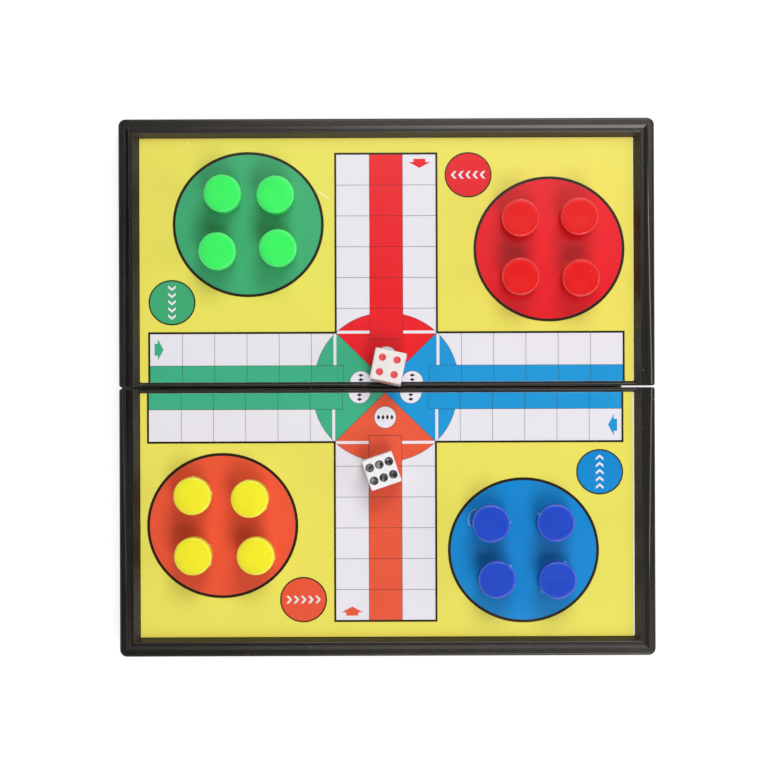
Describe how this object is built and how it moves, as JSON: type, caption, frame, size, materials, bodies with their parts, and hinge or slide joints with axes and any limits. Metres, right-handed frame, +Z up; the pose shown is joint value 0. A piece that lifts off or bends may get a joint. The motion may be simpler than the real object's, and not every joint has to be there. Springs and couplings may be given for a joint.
{
  "type": "folding magnetic ludo board",
  "caption": "Square ludo board for travel in two hinged half boards with stepped black rims, printed play sheets, magnetic button pawns and small dice; folds to a flat box.",
  "frame": {"origin": "middle of the fold, on the surface that the open board lies on", "axes": "+X along the fold to the right, +Y across the fold from the front half to the rear half, +Z up"},
  "size_m": [0.13, 0.1304, 0.0175],
  "materials": {
    "shell_plastic": "satin black moulded polystyrene with a fine grain",
    "plate_steel": "plain tinned sheet steel",
    "printed_sheet": "laminated print, yellow ground with a ludo track",
    "pin_steel": "drawn wire",
    "green_plastic": "satin moulded plastic",
    "red_plastic": "satin moulded plastic",
    "yellow_plastic": "satin moulded plastic",
    "blue_plastic": "satin moulded plastic",
    "magnet_nickel": "sintered ferrite, ground flat",
    "die_plastic": "polished ivory white plastic with painted pips"
  },
  "bodies": {
    "front_half": {"front_shell": "shell_plastic", "front_plate": "plate_steel", "front_sheet": "printed_sheet", "left_hinge_pin": "pin_steel", "right_hinge_pin": "pin_steel"},
    "rear_half": {"rear_shell": "shell_plastic", "rear_plate": "plate_steel", "rear_sheet": "printed_sheet"},
    "green_pawn_1": {"green_pawn_1": "green_plastic", "green_magnet_1": "magnet_nickel"},
    "green_pawn_2": {"green_pawn_2": "green_plastic", "green_magnet_2": "magnet_nickel"},
    "green_pawn_3": {"green_pawn_3": "green_plastic", "green_magnet_3": "magnet_nickel"},
    "green_pawn_4": {"green_pawn_4": "green_plastic", "green_magnet_4": "magnet_nickel"},
    "red_pawn_1": {"red_pawn_1": "red_plastic", "red_magnet_1": "magnet_nickel"},
    "red_pawn_2": {"red_pawn_2": "red_plastic", "red_magnet_2": "magnet_nickel"},
    "red_pawn_3": {"red_pawn_3": "red_plastic", "red_magnet_3": "magnet_nickel"},
    "red_pawn_4": {"red_pawn_4": "red_plastic", "red_magnet_4": "magnet_nickel"},
    "yellow_pawn_1": {"yellow_pawn_1": "yellow_plastic", "yellow_magnet_1": "magnet_nickel"},
    "yellow_pawn_2": {"yellow_pawn_2": "yellow_plastic", "yellow_magnet_2": "magnet_nickel"},
    "yellow_pawn_3": {"yellow_pawn_3": "yellow_plastic", "yellow_magnet_3": "magnet_nickel"},
    "yellow_pawn_4": {"yellow_pawn_4": "yellow_plastic", "yellow_magnet_4": "magnet_nickel"},
    "blue_pawn_1": {"blue_pawn_1": "blue_plastic", "blue_magnet_1": "magnet_nickel"},
    "blue_pawn_2": {"blue_pawn_2": "blue_plastic", "blue_magnet_2": "magnet_nickel"},
    "blue_pawn_3": {"blue_pawn_3": "blue_plastic", "blue_magnet_3": "magnet_nickel"},
    "blue_pawn_4": {"blue_pawn_4": "blue_plastic", "blue_magnet_4": "magnet_nickel"},
    "front_die": {"front_die": "die_plastic"},
    "rear_die": {"rear_die": "die_plastic"}
  },
  "joints": [
    {"name": "fold", "type": "hinge", "parent": "front_half", "child": "rear_half", "pos_m": [0, 0, 0.0016], "axis": [-1, 0, 0], "range_deg": [0, 180]},
    {"name": "green_pawn_1_lift", "type": "slide", "parent": "rear_half", "child": "green_pawn_1", "axis": [0, 0, 1], "range_m": [0, 0.03]},
    {"name": "green_pawn_2_lift", "type": "slide", "parent": "rear_half", "child": "green_pawn_2", "axis": [0, 0, 1], "range_m": [0, 0.03]},
    {"name": "green_pawn_3_lift", "type": "slide", "parent": "rear_half", "child": "green_pawn_3", "axis": [0, 0, 1], "range_m": [0, 0.03]},
    {"name": "green_pawn_4_lift", "type": "slide", "parent": "rear_half", "child": "green_pawn_4", "axis": [0, 0, 1], "range_m": [0, 0.03]},
    {"name": "red_pawn_1_lift", "type": "slide", "parent": "rear_half", "child": "red_pawn_1", "axis": [0, 0, 1], "range_m": [0, 0.03]},
    {"name": "red_pawn_2_lift", "type": "slide", "parent": "rear_half", "child": "red_pawn_2", "axis": [0, 0, 1], "range_m": [0, 0.03]},
    {"name": "red_pawn_3_lift", "type": "slide", "parent": "rear_half", "child": "red_pawn_3", "axis": [0, 0, 1], "range_m": [0, 0.03]},
    {"name": "red_pawn_4_lift", "type": "slide", "parent": "rear_half", "child": "red_pawn_4", "axis": [0, 0, 1], "range_m": [0, 0.03]},
    {"name": "yellow_pawn_1_lift", "type": "slide", "parent": "front_half", "child": "yellow_pawn_1", "axis": [0, 0, 1], "range_m": [0, 0.03]},
    {"name": "yellow_pawn_2_lift", "type": "slide", "parent": "front_half", "child": "yellow_pawn_2", "axis": [0, 0, 1], "range_m": [0, 0.03]},
    {"name": "yellow_pawn_3_lift", "type": "slide", "parent": "front_half", "child": "yellow_pawn_3", "axis": [0, 0, 1], "range_m": [0, 0.03]},
    {"name": "yellow_pawn_4_lift", "type": "slide", "parent": "front_half", "child": "yellow_pawn_4", "axis": [0, 0, 1], "range_m": [0, 0.03]},
    {"name": "blue_pawn_1_lift", "type": "slide", "parent": "front_half", "child": "blue_pawn_1", "axis": [0, 0, 1], "range_m": [0, 0.03]},
    {"name": "blue_pawn_2_lift", "type": "slide", "parent": "front_half", "child": "blue_pawn_2", "axis": [0, 0, 1], "range_m": [0, 0.03]},
    {"name": "blue_pawn_3_lift", "type": "slide", "parent": "front_half", "child": "blue_pawn_3", "axis": [0, 0, 1], "range_m": [0, 0.03]},
    {"name": "blue_pawn_4_lift", "type": "slide", "parent": "front_half", "child": "blue_pawn_4", "axis": [0, 0, 1], "range_m": [0, 0.03]},
    {"name": "front_die_lift", "type": "slide", "parent": "front_half", "child": "front_die", "axis": [0, 0, 1], "range_m": [0, 0.03]},
    {"name": "rear_die_lift", "type": "slide", "parent": "rear_half", "child": "rear_die", "axis": [0, 0, 1], "range_m": [0, 0.03]}
  ]
}
